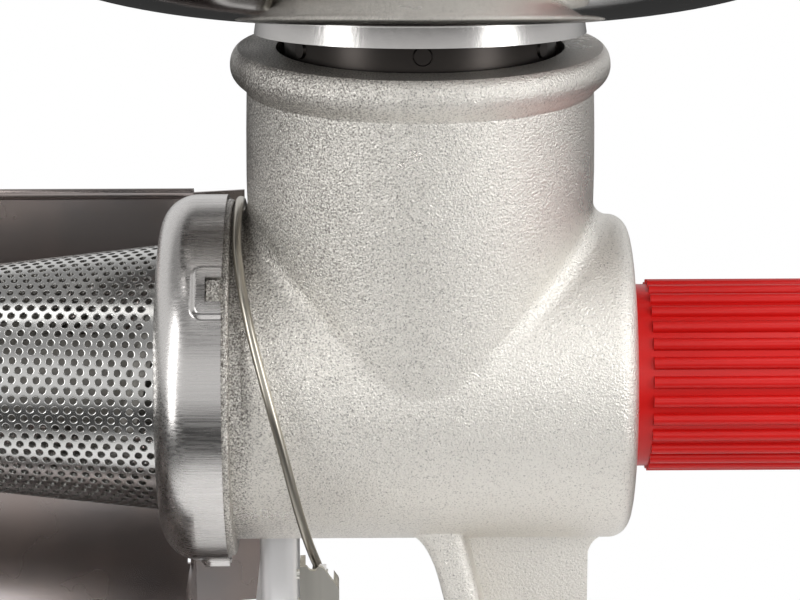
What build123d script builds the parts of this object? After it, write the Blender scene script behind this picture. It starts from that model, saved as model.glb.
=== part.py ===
from build123d import *
from math import atan2, cos, degrees, radians, sin, sqrt, tan
import os

# Tomato strainer with crank, in millimetres. +X points along the drive axis towards the crank, -Y towards
# the front, +Z up. The origin is the point of the upper clamp jaw's underside below the neck's axis. Heights
# named below are measured from the drive axis.

# ---------------------------------------------------------------- driving dimensions
axis_height = 125.0  # drive axis above the table top

# body casting
tube_radius = 39.0
tube_right = 49.8
tube_bore_radius = 33.0
end_wall = 13.8
end_rounding = 4.8
flange_radius = 43.0
flange_left = -59.2
flange_right = -44.4
flange_rounding = 6.0
land_radius = 40.2
land_right = -41.6
neck_foot_radius = 37.4
neck_mid_radius = 39.8
neck_mid_height = 22.0
neck_radius = 41.05
neck_height = 45.0
neck_top_radius = 40.6
rim_height = 80.9
neck_bore_radius = 33.85
neck_bore_floor = 8.0
bead_height = 10.4
bead_radius = 44.6
bead_top_radius = 42.8
crease_rounding = 5.0

# leg and clamp frame
leg_root_reach = -9.0
leg_root_height = -33.0
leg_side = 4.7
leg_side_height = -48.0
leg_waist = 15.0
leg_waist_height = -90.0
leg_flange = 9.0
leg_flange_width = 42.0
leg_web = 10.0
leg_rounding = 3.0
web_rounding = 3.5
leg_back = 40.8
leg_back_rounding = 5.5
back_flange_top = -66.0
back_flange = 6.0
back_flange_width = 30.0
jaw_tip = -24.0
jaw_thickness = 9.0
jaw_heel = 9.0
throat_back = 17.0
clamp_opening = 62.0
arm_thickness = 13.0
arm_width = 18.0
boss_radius = 12.0
boss_height = 22.0

# filter cone, gasket and locking ring
sheet = 0.8
cone_radius = 32.0
cone_taper = 6.4
cone_end = -196.0
cone_flange_radius = 35.0
gasket = 1.2
gasket_radius = 36.0
gasket_bore_radius = 32.4
ring_radius = 44.1
ring_right = -46.0
ring_shoulder = 9.0
ring_mouth_radius = 33.0
lug_count = 3
lug_first_angle = 43.0
lug_centre = -47.9
lug_length = 3.0
lug_width = 5.6
lug_rise = 1.6
pocket_rise = 1.5
pocket_width = 11.0
pocket_left = -51.6
window_right = -45.0
window_length = 4.7
window_width = 6.2

# auger, shaft, bearing and drive sleeve
auger_gap = 0.6
auger_left = -190.0
auger_right = 31.0
auger_pitch = 44.0
flight_thickness = 4.0
core_radius = 12.5
core_tip_radius = 8.5
shaft_radius = 8.0
shaft_left = -10.0
shaft_end = 125.0
shaft_square = 11.0
auger_pin_radius = 2.0
auger_pin_x = 20.0
running_gap = 0.05
face_gap = 0.3
washer_radius = 14.0
washer_thickness = 1.6
bushing_radius = 12.0
bushing_flange_radius = 15.0
bushing_flange = 2.0
seal_width = 3.0
sleeve_collar_radius = 21.95
sleeve_collar = 4.4
sleeve_radius = 23.15
sleeve_length = 62.0
rib_count = 30
rib_radius = 1.5
sleeve_end_recess = 2.4

# crank and grip
crank_throw = 150.0
crank_offset = 18.0
crank_hub_radius = 17.0
crank_hub_length = 13.0
crank_eye_radius = 12.0
crank_eye_length = 12.0
crank_thickness = 8.0
crank_root_width = 26.0
crank_tip_width = 19.0
crank_washer_radius = 11.0
crank_washer_thickness = 1.8
screw_head_flats = 13.0
screw_head_height = 5.5
crank_screw_radius = 4.0
crank_screw_length = 20.0
grip_pin_radius = 5.0
grip_length = 96.0
grip_radius = 15.5
grip_neck_radius = 11.5
grip_end_radius = 13.0
grip_cap_radius = 8.0
grip_cap_thickness = 2.2

# hopper
hopper_tilt = 4.5
hopper_gap = 3.4
hopper_sheet = 1.0
collar_radius = 38.9
collar_top_radius = 38.0
collar_height = 6.0
spigot_radius = 31.8
spigot_length = 22.0
bowl_flat = 48.0
bowl_base_bend = 110.0
bowl_base_sweep = 24.0
bowl_side_bend = 34.0
bowl_side_sweep = 40.0
bowl_wall = 25.0
bowl_rim = 2.2
dimple_count = 6
dimple_radius = 2.4
dimple_rise = 0.5
dimple_drop = 2.5

# drip pan
pan_sheet = 0.8
pan_back = 52.8
pan_front = -45.8
pan_top = 33.0
pan_lip = -60.0
pan_floor = -79.0
pan_back_curve = 44.0
pan_front_curve = 12.0
pan_right = -58.4
pan_hem_right = -57.0
pan_left = -186.0
pan_hem = 1.4
pan_tab = 25.4
pan_tab_half = 14.0
wing_reach = 14.6
wing_angle = 12.5
wing_rise = 0.3
cone_notch_radius = 25.0
spout_half = 17.0
spout_length = 16.0
spout_side = 9.0

# yoke, saddle post, bail and latch
yoke_sheet = 1.5
yoke_top = -62.0
yoke_left = -41.0
strap_width = 10.0
yoke_step = -15.0
yoke_front = -41.0
post_left = -39.0
post_right = -29.8
post_half = 12.0
post_sheet = 1.5
post_corner = 3.0
seat_gap = 0.05
rivet_radius = 1.6
rivet_head_radius = 2.8
rivet_head = 1.0
rivet_x = -34.4
rivet_y = 6.0
wire_radius = 1.1
bail_radius = 42.6
bail_x = -43.0
bail_leave_angle = 15.0
bail_drop_x = -25.4
bail_drop_y = -39.0
bail_drop_height = -30.3
bail_slope = 0.26
bail_bend = 1.9
bail_foot_bend = 2.2
bail_anchor_height = -48.0
bail_foot_tip = -46.8
lever_left = -28.4
lever_right = -19.5
lever_front = -49.2
lever_depth = 7.7
lever_sheet = 1.2
lever_top = -30.4
lever_bottom = -66.0
lever_flare = 9.0
lever_chamfer_run = 3.8
lever_chamfer_drop = 5.4
notch_width = 2.8
notch_depth = 1.0
pivot_y = -45.4
pivot_height = -33.6
pivot_pin_radius = 1.2
tongue_gap = 0.4
tongue_end_radius = 2.3
hook_drop = 7.0
hook_pin_radius = 1.2
hook_reach = 2.9
hook_gap = 0.4

# clamp screw
screw_radius = 6.0
screw_gap = 0.1
table_gap = 30.0
cover_thickness = 2.0
pad_radius = 16.0
pad_thickness = 5.0
pad_boss_radius = 9.0
pad_boss = 4.0
journal_radius = 3.5
journal_gap = 0.1
screw_length = 92.0
screw_head_radius = 9.5
screw_head_length = 18.0
bar_radius = 3.0
bar_half = 40.0
bar_ball_radius = 5.5

# values that follow from the ones above
bore_right = tube_right - end_wall
cone_face = flange_left - gasket - sheet
ring_left = cone_face - sheet
taper = tan(radians(cone_taper))
crank_face = tube_right + face_gap + sleeve_length + 0.5
crank_outer = crank_face + crank_hub_length
grip_height = -crank_throw
grip_start = crank_face + crank_hub_length / 2 + crank_offset + crank_eye_length / 2 + 1.0
hook_height = pivot_height - hook_drop
foot_height = hook_height - hook_pin_radius - hook_gap - wire_radius
arm_top = -axis_height - clamp_opening
pad_top = -axis_height - table_gap - cover_thickness
journal_top = pad_top - pad_thickness + 1.8
screw_top = pad_top - pad_thickness - pad_boss - face_gap
screw_bottom = screw_top - screw_length
bar_height = screw_bottom + screw_head_length / 2
cone_end_radius = cone_radius + (cone_end - ring_left) * taper

os.makedirs("parts", exist_ok=True)

# ---------------------------------------------------------------- shared frames
drive_origin = (0, 0, axis_height)
drive_axis = Axis(drive_origin, (1, 0, 0))


def across(x):
    """Plane square to the drive axis at x: its own x runs along +Y and its own y along +Z."""
    return Plane(origin=(x, 0, axis_height), x_dir=(0, 1, 0), z_dir=(1, 0, 0))


def side_on(y=0.0):
    """Upright plane at depth y: its own x runs along +X and its own y along +Z from the drive axis."""
    return Plane(origin=(0, y, axis_height), x_dir=(1, 0, 0), z_dir=(0, -1, 0))


def level(height, x=0.0):
    """Level plane at a height above or below the drive axis."""
    return Plane(origin=(x, 0, axis_height + height), x_dir=(1, 0, 0), z_dir=(0, 0, 1))


def corner(sketch, x, y):
    """The vertex of a sketch nearest to a place given in the sketch's own x and y."""
    return sketch.vertices().sort_by_distance((x, y, 0))[0]


def save(part, name):
    """Labels a finished piece and writes it to its own file."""
    part.label = name
    export_step(part, f"parts/{name}.step")


# ---------------------------------------------------------------- body casting
jaw_plane = -axis_height
jaw_top = jaw_plane + jaw_thickness
arm_bottom = arm_top - arm_thickness
bead_foot = rim_height - bead_height

with BuildPart() as leg_plate:
    with BuildSketch(side_on()) as plate_profile:
        with BuildLine():
            root = Spline(
                (leg_root_reach, leg_root_height),
                (-0.5, -35.6),
                (2.2, -40.0),
                (leg_side, leg_side_height),
                tangents=[(1, 0), (leg_waist - leg_side, leg_waist_height - leg_side_height)],
            )
            Polyline(
                root @ 1,
                (leg_waist, leg_waist_height),
                (jaw_heel, jaw_top),
                (jaw_tip, jaw_top + 1.5),
                (jaw_tip, jaw_plane),
                (throat_back + leg_flange, jaw_plane),
                (leg_waist + leg_flange + 1, leg_waist_height - 4),
                (leg_side + leg_flange, leg_side_height),
                (leg_side + leg_flange - 4, leg_root_height + 1),
                (leg_root_reach, leg_root_height + 1),
                root @ 0,
            )
        make_face()
        fillet(corner(plate_profile, jaw_heel, jaw_top), 12)
        fillet(corner(plate_profile, leg_waist, leg_waist_height), 22)
        fillet(corner(plate_profile, jaw_tip, jaw_top), 4)
    extrude(amount=leg_flange_width / 2, both=True)
    outer = [
        e
        for e in leg_plate.edges()
        if abs(abs(e.center().Y) - leg_flange_width / 2) < 0.01
        and e.center().Z < axis_height + leg_root_height - 0.5
        and e.center().Z > axis_height + jaw_top + 3
        and e.center().X < leg_waist + 1.5
    ]
    fillet(outer, leg_rounding)

with BuildPart() as body_casting:
    with BuildSketch(side_on()) as tube_profile:
        with BuildLine():
            Polyline(
                (flange_left, 0),
                (flange_left, flange_radius),
                (flange_right, flange_radius),
                (flange_right, tube_radius),
                (tube_right, tube_radius),
                (tube_right, 0),
                close=True,
            )
        make_face()
        fillet(corner(tube_profile, flange_left, flange_radius), flange_rounding)
        fillet(corner(tube_profile, tube_right, tube_radius), end_rounding)
        fillet(corner(tube_profile, flange_right, flange_radius), 0.9)
    revolve(axis=drive_axis)
    with BuildSketch(side_on()):
        with BuildLine():
            neck_line = Spline(
                (neck_foot_radius, 0),
                (neck_mid_radius, neck_mid_height),
                (neck_radius, neck_height),
                (neck_top_radius, rim_height),
                tangents=[(0.25, 1), (-0.0155, 1)],
            )
            Polyline(neck_line @ 1, (0, rim_height), (0, 0), neck_line @ 0)
        make_face()
    revolve(axis=Axis.Z)
    crease = [e for e in body_casting.edges() if e.geom_type == GeomType.BSPLINE and e.center().Z < axis_height + 50]
    fillet(crease, crease_rounding)
    # raised land below the bail, on the upper half only
    with BuildSketch(across(flange_right)):
        Circle(land_radius)
        Circle(tube_radius - 2, mode=Mode.SUBTRACT)
        with Locations((0, -land_radius)):
            Rectangle(2 * land_radius, 2 * land_radius, mode=Mode.SUBTRACT)
    extrude(amount=land_right - flange_right)
    # bead round the rim
    with BuildSketch(side_on()):
        with BuildLine():
            bead_line = Spline(
                (neck_top_radius + 0.1, bead_foot - 0.4),
                (42.4, 72.6),
                (44.25, 74.9),
                (bead_radius, 77.0),
                (44.1, 79.4),
                (bead_top_radius, rim_height),
                tangents=[(0.05, 1), (-0.9, 0.5)],
            )
            Polyline(bead_line @ 1, (neck_bore_radius + 1, rim_height), (neck_bore_radius + 1, bead_foot - 0.4), bead_line @ 0)
        make_face()
    revolve(axis=Axis.Z)
    # web of the leg and the clamp's back
    with BuildSketch(side_on()) as web_profile:
        with BuildLine():
            Polyline(
                (leg_side + 3, -30),
                (46.6, -30),
                (46.6, -tube_radius + 0.05),
                (leg_back, -tube_radius + 0.05),
                (leg_back, arm_bottom),
                (0, arm_bottom),
                (0, arm_top),
                (throat_back, arm_top),
                (throat_back, jaw_plane),
                (jaw_heel + 2, jaw_top),
                (leg_waist + 2, leg_waist_height),
                close=True,
            )
        make_face()
        fillet(corner(web_profile, leg_back, -tube_radius), leg_back_rounding)
        fillet(corner(web_profile, leg_back, arm_bottom), 10)
        fillet(corner(web_profile, throat_back, arm_top), 6)
    extrude(amount=leg_web / 2, both=True)
    # front flange of the leg, running into the upper jaw
    add(leg_plate.part)
    # flange down the throat and flange down the back of the clamp
    for left, right, top, bottom in (
        (throat_back, throat_back + leg_flange, jaw_plane + 1, arm_top - 1),
        (leg_back - back_flange, leg_back, back_flange_top, arm_bottom + 10),
    ):
        with BuildSketch(side_on()):
            with Locations(((left + right) / 2, (top + bottom) / 2)):
                Rectangle(right - left, top - bottom)
        extrude(amount=back_flange_width / 2, both=True)
    # lower arm and its screw boss
    with BuildSketch(side_on()) as arm_profile:
        with Locations(((leg_back - 10) / 2, arm_top - arm_thickness / 2)):
            Rectangle(leg_back - 10, arm_thickness)
    extrude(amount=arm_width / 2, both=True)
    with BuildSketch(level(arm_top - arm_thickness / 2 - boss_height / 2)):
        Circle(boss_radius)
    extrude(amount=boss_height)
    with BuildSketch(level(arm_bottom - 20)):
        Circle(screw_radius + screw_gap)
    extrude(amount=60, mode=Mode.SUBTRACT)
    # bores of the neck, tube and bearing
    with BuildSketch(level(neck_bore_floor)):
        Circle(neck_bore_radius)
    extrude(amount=rim_height, mode=Mode.SUBTRACT)
    with BuildSketch(across(flange_left)):
        Circle(tube_bore_radius)
    extrude(amount=bore_right - flange_left, mode=Mode.SUBTRACT)
    with BuildSketch(across(bore_right)):
        Circle(bushing_radius)
    extrude(amount=end_wall, mode=Mode.SUBTRACT)
    # bayonet lugs
    for index in range(lug_count):
        angle = 180 + lug_first_angle * -1 + 360 / lug_count * index
        lug_plane = Plane(
            origin=(lug_centre, flange_radius * cos(radians(angle)), axis_height + flange_radius * sin(radians(angle))),
            x_dir=(1, 0, 0),
            z_dir=(0, cos(radians(angle)), sin(radians(angle))),
        )
        with BuildSketch(lug_plane.offset(-1)):
            Rectangle(lug_length, lug_width)
        extrude(amount=lug_rise + 1)
save(body_casting.part, "body_casting")

# ---------------------------------------------------------------- bearing and seal
with BuildPart() as shaft_bushing:
    with BuildSketch(across(bore_right - bushing_flange)):
        Circle(bushing_flange_radius)
    extrude(amount=bushing_flange)
    with BuildSketch(across(bore_right)):
        Circle(bushing_radius)
    extrude(amount=end_wall - seal_width)
    with BuildSketch(across(bore_right - bushing_flange)):
        Circle(shaft_radius + running_gap)
    extrude(amount=end_wall + bushing_flange, mode=Mode.SUBTRACT)
save(shaft_bushing.part, "shaft_bushing")

with BuildPart() as shaft_seal:
    with BuildSketch(across(tube_right - seal_width)):
        Circle(bushing_radius)
        Circle(shaft_radius + running_gap, mode=Mode.SUBTRACT)
    extrude(amount=seal_width)
save(shaft_seal.part, "shaft_seal")

# ---------------------------------------------------------------- auger
flight_reach = tube_bore_radius - auger_gap
cone_reach = cone_radius - sheet - auger_gap + (flange_left - ring_left) * taper - 1.0
tip_reach = cone_reach + (auger_left - flange_left) * taper
flight_root = core_tip_radius - 1.5


def flight(left, right, reach_left, reach_right):
    """Left-hand blade round the drive axis from x = left to x = right, its reach changing evenly."""
    run = right - left - flight_thickness
    flare = atan2(reach_right - reach_left, run)

    def turn(x, radius, cone):
        return Helix(
            pitch=auger_pitch,
            height=run,
            radius=radius,
            center=(x, 0, axis_height),
            direction=(1, 0, 0),
            cone_angle=cone,
            lefthand=True,
        )

    inner = [turn(x, flight_root, 0) for x in (left, left + flight_thickness)]
    outer = [turn(x, reach_left, degrees(flare)) for x in (left, left + flight_thickness)]
    sides = ((inner[0], outer[0]), (inner[1], outer[1]), outer, inner)
    faces = [Face.make_surface_from_curves(*pair) for pair in sides]
    for end in (0, 1):
        corners = [inner[0] @ end, outer[0] @ end, outer[1] @ end, inner[1] @ end]
        faces.append(Face(Wire.make_polygon(corners, close=True)))
    return Solid(Shell(faces))


cone_flight = flight(auger_left, flange_left + flight_thickness, tip_reach, cone_reach)
tube_flight = flight(flange_left, auger_right, flight_reach, flight_reach)

with BuildPart() as auger:
    with BuildSketch(side_on()):
        with BuildLine():
            Polyline(
                (auger_left - 2, 0),
                (auger_left - 2, core_tip_radius - 1.5),
                (auger_left - 0.5, core_tip_radius),
                (auger_right, core_radius),
                (auger_right, 0),
                close=True,
            )
        make_face()
    revolve(axis=drive_axis)
    add(cone_flight)
    add(tube_flight)
    with BuildSketch(across(shaft_left - 1)):
        Circle(shaft_radius)
    extrude(amount=auger_right - shaft_left + 2, mode=Mode.SUBTRACT)
    with BuildSketch(level(-core_radius - 2, auger_pin_x)):
        Circle(auger_pin_radius)
    extrude(amount=2 * core_radius + 4, mode=Mode.SUBTRACT)
save(auger.part, "auger")

with BuildPart() as auger_pin:
    with BuildSketch(level(-core_radius + 0.6, auger_pin_x)):
        Circle(auger_pin_radius)
    extrude(amount=2 * core_radius - 1.2)
save(auger_pin.part, "auger_pin")

washer_left = bore_right - bushing_flange - 0.1 - washer_thickness
with BuildPart() as thrust_washer:
    with BuildSketch(across(washer_left)):
        Circle(washer_radius)
        Circle(shaft_radius, mode=Mode.SUBTRACT)
    extrude(amount=washer_thickness)
save(thrust_washer.part, "thrust_washer")

# ---------------------------------------------------------------- shaft and drive sleeve
with BuildPart() as drive_shaft:
    with BuildSketch(across(shaft_left)):
        Circle(shaft_radius)
    extrude(amount=crank_face - shaft_left)
    with BuildSketch(across(crank_face)):
        Rectangle(shaft_square, shaft_square)
        Circle(shaft_radius - 0.6, mode=Mode.INTERSECT)
    extrude(amount=shaft_end - crank_face)
    with BuildSketch(across(crank_outer - crank_screw_length)):
        Circle(crank_screw_radius)
    extrude(amount=crank_screw_length, mode=Mode.SUBTRACT)
    with BuildSketch(level(-shaft_radius - 2, auger_pin_x)):
        Circle(auger_pin_radius)
    extrude(amount=2 * shaft_radius + 4, mode=Mode.SUBTRACT)
save(drive_shaft.part, "drive_shaft")

sleeve_left = tube_right + face_gap
with BuildPart() as drive_sleeve:
    with BuildSketch(across(sleeve_left)) as collar_sketch:
        Circle(sleeve_collar_radius)
    extrude(amount=sleeve_collar)
    with BuildSketch(across(sleeve_left + sleeve_collar)):
        Circle(sleeve_radius - rib_radius)
        with PolarLocations(sleeve_radius - rib_radius, rib_count):
            Circle(rib_radius)
    extrude(amount=sleeve_length - sleeve_collar)
    with BuildSketch(across(sleeve_left + sleeve_length - sleeve_end_recess)):
        Circle(sleeve_radius - 4)
        Circle(shaft_radius + 5, mode=Mode.SUBTRACT)
    extrude(amount=sleeve_end_recess, mode=Mode.SUBTRACT)
    with BuildSketch(across(sleeve_left)):
        Circle(shaft_radius)
    extrude(amount=sleeve_length, mode=Mode.SUBTRACT)
save(drive_sleeve.part, "drive_sleeve")

# ---------------------------------------------------------------- crank arm, its screw and the grip
arm_mid = crank_face + crank_hub_length / 2
eye_mid = arm_mid + crank_offset
with BuildPart() as crank_arm:
    with BuildSketch(side_on()):
        with BuildLine():
            Polyline(
                (arm_mid - crank_thickness / 2, -4),
                (arm_mid + crank_thickness / 2, -4),
                (arm_mid + crank_thickness / 2, -crank_hub_radius - 6),
                (eye_mid + crank_thickness / 2, grip_height + crank_eye_radius + 8),
                (eye_mid + crank_thickness / 2, grip_height),
                (eye_mid - crank_thickness / 2, grip_height),
                (eye_mid - crank_thickness / 2, grip_height + crank_eye_radius + 8),
                (arm_mid - crank_thickness / 2, -crank_hub_radius - 6),
                close=True,
            )
        make_face()
    extrude(amount=crank_root_width / 2, both=True)
    with BuildSketch(across(crank_face - 1)) as arm_cut:
        with BuildLine():
            Polyline(
                (crank_root_width / 2, -6),
                (crank_tip_width / 2, grip_height + 4),
                (crank_tip_width / 2 + 20, grip_height + 4),
                (crank_root_width / 2 + 20, -6),
                close=True,
            )
        make_face()
        mirror(about=Plane.YZ)
    extrude(amount=crank_offset + crank_hub_length + 10, mode=Mode.SUBTRACT)
    with BuildSketch(across(crank_face)):
        Circle(crank_hub_radius)
    extrude(amount=crank_hub_length)
    with BuildSketch(across(eye_mid - crank_eye_length / 2)):
        with Locations((0, grip_height)):
            Circle(crank_eye_radius)
    extrude(amount=crank_eye_length)
    with BuildSketch(across(crank_face)):
        Rectangle(shaft_square, shaft_square)
        Circle(shaft_radius - 0.6, mode=Mode.INTERSECT)
    extrude(amount=crank_hub_length, mode=Mode.SUBTRACT)
    with BuildSketch(across(eye_mid - crank_eye_length)):
        with Locations((0, grip_height)):
            Circle(grip_pin_radius)
    extrude(amount=2 * crank_eye_length, mode=Mode.SUBTRACT)
save(crank_arm.part, "crank_arm")

with BuildPart() as crank_washer:
    with BuildSketch(across(crank_outer)):
        Circle(crank_washer_radius)
        Circle(crank_screw_radius, mode=Mode.SUBTRACT)
    extrude(amount=crank_washer_thickness)
save(crank_washer.part, "crank_washer")

head_left = crank_outer + crank_washer_thickness
with BuildPart() as crank_screw:
    with BuildSketch(across(head_left)):
        RegularPolygon(screw_head_flats / 2, 6, major_radius=False)
    extrude(amount=screw_head_height)
    with BuildSketch(across(crank_outer - crank_screw_length + 1)):
        Circle(crank_screw_radius)
    extrude(amount=crank_screw_length - 1 + crank_washer_thickness)
    with BuildSketch(side_on()):
        with BuildLine():
            Polyline(
                (head_left + screw_head_height - 1.2, screw_head_flats),
                (head_left + screw_head_height - 1.2, screw_head_flats / 2 + 1.2),
                (head_left + screw_head_height + 0.01, screw_head_flats / 2 - 0.8),
                (head_left + screw_head_height + 0.01, screw_head_flats),
                close=True,
            )
        make_face()
    revolve(axis=drive_axis, mode=Mode.SUBTRACT)
save(crank_screw.part, "crank_screw")

pin_left = eye_mid - crank_eye_length / 2
cap_left = grip_start + grip_length + face_gap
with BuildPart() as grip_pin:
    with BuildSketch(across(pin_left)):
        with Locations((0, grip_height)):
            Circle(grip_pin_radius)
    extrude(amount=cap_left - pin_left + grip_cap_thickness - 0.8)
save(grip_pin.part, "grip_pin")

grip_axis = Axis((0, 0, axis_height + grip_height), (1, 0, 0))
with BuildPart() as crank_grip:
    with BuildSketch(side_on()):
        with BuildLine():
            grip_line = ThreePointArc(
                (grip_start, grip_height + grip_neck_radius),
                (grip_start + grip_length * 0.6, grip_height + grip_radius),
                (grip_start + grip_length - 2, grip_height + grip_end_radius),
            )
            Polyline(
                grip_line @ 1,
                (grip_start + grip_length, grip_height + grip_end_radius - 2.5),
                (grip_start + grip_length, grip_height + grip_pin_radius + running_gap),
                (grip_start, grip_height + grip_pin_radius + running_gap),
                grip_line @ 0,
            )
        make_face()
    revolve(axis=grip_axis)
save(crank_grip.part, "crank_grip")

with BuildPart() as grip_cap:
    with BuildSketch(across(cap_left)):
        with Locations((0, grip_height)):
            Circle(grip_cap_radius)
    extrude(amount=grip_cap_thickness)
    with BuildSketch(across(cap_left)):
        with Locations((0, grip_height)):
            Circle(grip_pin_radius)
    extrude(amount=grip_cap_thickness - 0.8, mode=Mode.SUBTRACT)
save(grip_cap.part, "grip_cap")

# ---------------------------------------------------------------- filter cone, gasket and locking ring
with BuildPart() as screen_cone:
    with BuildSketch(side_on()):
        with BuildLine():
            Polyline(
                (cone_face, cone_flange_radius),
                (cone_face + sheet, cone_flange_radius),
                (cone_face + sheet, cone_radius - sheet),
                (ring_left, cone_radius - sheet),
                (cone_end, cone_end_radius - sheet),
                (cone_end, cone_end_radius),
                (ring_left, cone_radius),
                (cone_face, cone_radius),
                close=True,
            )
        make_face()
    revolve(axis=drive_axis)
save(screen_cone.part, "screen_cone")

with BuildPart() as cone_gasket:
    with BuildSketch(across(flange_left - gasket)):
        Circle(gasket_radius)
        Circle(gasket_bore_radius, mode=Mode.SUBTRACT)
    extrude(amount=gasket)
save(cone_gasket.part, "cone_gasket")

ring_inner = ring_radius - sheet
shoulder_x = ring_left + ring_shoulder
shoulder_r = ring_radius - ring_shoulder
with BuildPart() as locking_ring:
    with BuildSketch(side_on()):
        with BuildLine():
            Line((ring_right, ring_inner), (ring_right, ring_radius))
            Line((ring_right, ring_radius), (shoulder_x, ring_radius))
            RadiusArc((shoulder_x, ring_radius), (ring_left, shoulder_r), -ring_shoulder)
            Line((ring_left, shoulder_r), (ring_left, ring_mouth_radius))
            Line((ring_left, ring_mouth_radius), (ring_left + sheet, ring_mouth_radius))
            Line((ring_left + sheet, ring_mouth_radius), (ring_left + sheet, shoulder_r))
            RadiusArc((ring_left + sheet, shoulder_r), (shoulder_x, ring_inner), ring_shoulder - sheet)
            Line((shoulder_x, ring_inner), (ring_right, ring_inner))
        make_face()
    revolve(axis=drive_axis)
    pocket_turn = pocket_width / ring_radius / 2
    for index in range(lug_count):
        angle = radians(180 - lug_first_angle + 360 / lug_count * index)
        across_pocket = (0, cos(angle), sin(angle))
        outer = Plane(origin=(pocket_left, 0, axis_height), x_dir=across_pocket, z_dir=(1, 0, 0))
        pocket_top = ring_radius + pocket_rise
        with BuildSketch(outer) as pocket_sketch:
            Circle(pocket_top)
            with Locations((pocket_top, 0)):
                Rectangle(pocket_top, pocket_width, mode=Mode.INTERSECT)
            Circle(ring_inner, mode=Mode.SUBTRACT)
        extrude(amount=ring_right - pocket_left)
        with BuildSketch(outer.offset(sheet)):
            Circle(pocket_top - sheet)
            with Locations((pocket_top, 0)):
                Rectangle(pocket_top, pocket_width - 2 * sheet, mode=Mode.INTERSECT)
            Circle(ring_inner - 1, mode=Mode.SUBTRACT)
        extrude(amount=ring_right - pocket_left, mode=Mode.SUBTRACT)
        window = Plane(
            origin=(
                window_right - window_length / 2,
                pocket_top * cos(angle),
                axis_height + pocket_top * sin(angle),
            ),
            x_dir=(1, 0, 0),
            z_dir=(0, cos(angle), sin(angle)),
        )
        with BuildSketch(window.offset(-2)):
            Rectangle(window_length, window_width)
        extrude(amount=4, mode=Mode.SUBTRACT)
save(locking_ring.part, "locking_ring")

# ---------------------------------------------------------------- hopper
tilt = radians(hopper_tilt)
hopper_origin = (0, 0, axis_height + rim_height + hopper_gap)
hopper_level = Plane(origin=hopper_origin, x_dir=(1, 0, 0), z_dir=(0, sin(tilt), cos(tilt)))
hopper_side = Plane(origin=hopper_origin, x_dir=(1, 0, 0), z_dir=(0, -cos(tilt), sin(tilt)))
hopper_axis = Axis(hopper_origin, (0, sin(tilt), cos(tilt)))

with BuildPart() as hopper_bowl:
    with BuildSketch(hopper_side):
        with BuildLine():
            ends = []
            for inset in (0, hopper_sheet):
                bottom = Line(
                    (spigot_radius - hopper_sheet, collar_height + inset), (bowl_flat, collar_height + inset)
                )
                base = JernArc(bottom @ 1, (1, 0), bowl_base_bend - inset, bowl_base_sweep)
                side = JernArc(base @ 1, base % 1, bowl_side_bend - inset, bowl_side_sweep)
                wall = PolarLine(side @ 1, bowl_wall, direction=side % 1)
                ends.append((bottom @ 0, wall @ 1))
            Line(ends[0][0], ends[1][0])
            Line(ends[0][1], ends[1][1])
        make_face()
        with Locations((ends[0][1] + ends[1][1]) / 2 + Vector(0.6, 0.6)):
            Circle(bowl_rim)
    revolve(axis=hopper_axis)
save(hopper_bowl.part, "hopper_bowl")

with BuildPart() as hopper_collar:
    with BuildSketch(hopper_side):
        with BuildLine():
            Polyline(
                (collar_radius, 0),
                (collar_top_radius, collar_height),
                (collar_top_radius - hopper_sheet, collar_height),
                (collar_radius - hopper_sheet, 0),
                close=True,
            )
        make_face()
    revolve(axis=hopper_axis)
save(hopper_collar.part, "hopper_collar")

with BuildPart() as hopper_spigot:
    with BuildSketch(hopper_level.offset(-spigot_length)):
        Circle(spigot_radius)
        Circle(spigot_radius - hopper_sheet, mode=Mode.SUBTRACT)
    extrude(amount=spigot_length + collar_height)
    for index in range(dimple_count):
        angle = radians(360 / dimple_count * index - 90)
        side = hopper_level.from_local_coords(Vector(cos(angle), sin(angle), 0)) - hopper_level.origin
        centre = hopper_level.from_local_coords(
            Vector((spigot_radius - 0.3) * cos(angle), (spigot_radius - 0.3) * sin(angle), -dimple_drop)
        )
        with BuildSketch(Plane(origin=centre, x_dir=hopper_level.z_dir, z_dir=side)):
            Circle(dimple_radius)
        extrude(amount=dimple_rise + 0.3, taper=30)
save(hopper_spigot.part, "hopper_spigot")

# ---------------------------------------------------------------- drip pan


def pan_section(x, floor, inset, open_top):
    """Outline of the pan at x: its outside for inset 0, or its hollow for the sheet's thickness."""
    back = pan_back - inset
    front = pan_front + inset
    base = floor + inset
    back_curve = pan_back_curve - inset
    front_curve = pan_front_curve - inset
    with BuildSketch(across(x)) as section:
        with BuildLine():
            Line((back, pan_top), (back, base + back_curve))
            CenterArc((back - back_curve, base + back_curve), back_curve, -90, 90)
            Line((back - back_curve, base), (front + front_curve, base))
            CenterArc((front + front_curve, base + front_curve), front_curve, 180, 90)
            if open_top:
                Polyline((front, base + front_curve), (front, pan_top), (back, pan_top))
            else:
                Polyline(
                    (front, base + front_curve),
                    (front, pan_lip),
                    (front + pan_sheet, pan_lip),
                    (back - pan_sheet, pan_top),
                    (back, pan_top),
                )
        make_face()
    return section


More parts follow.
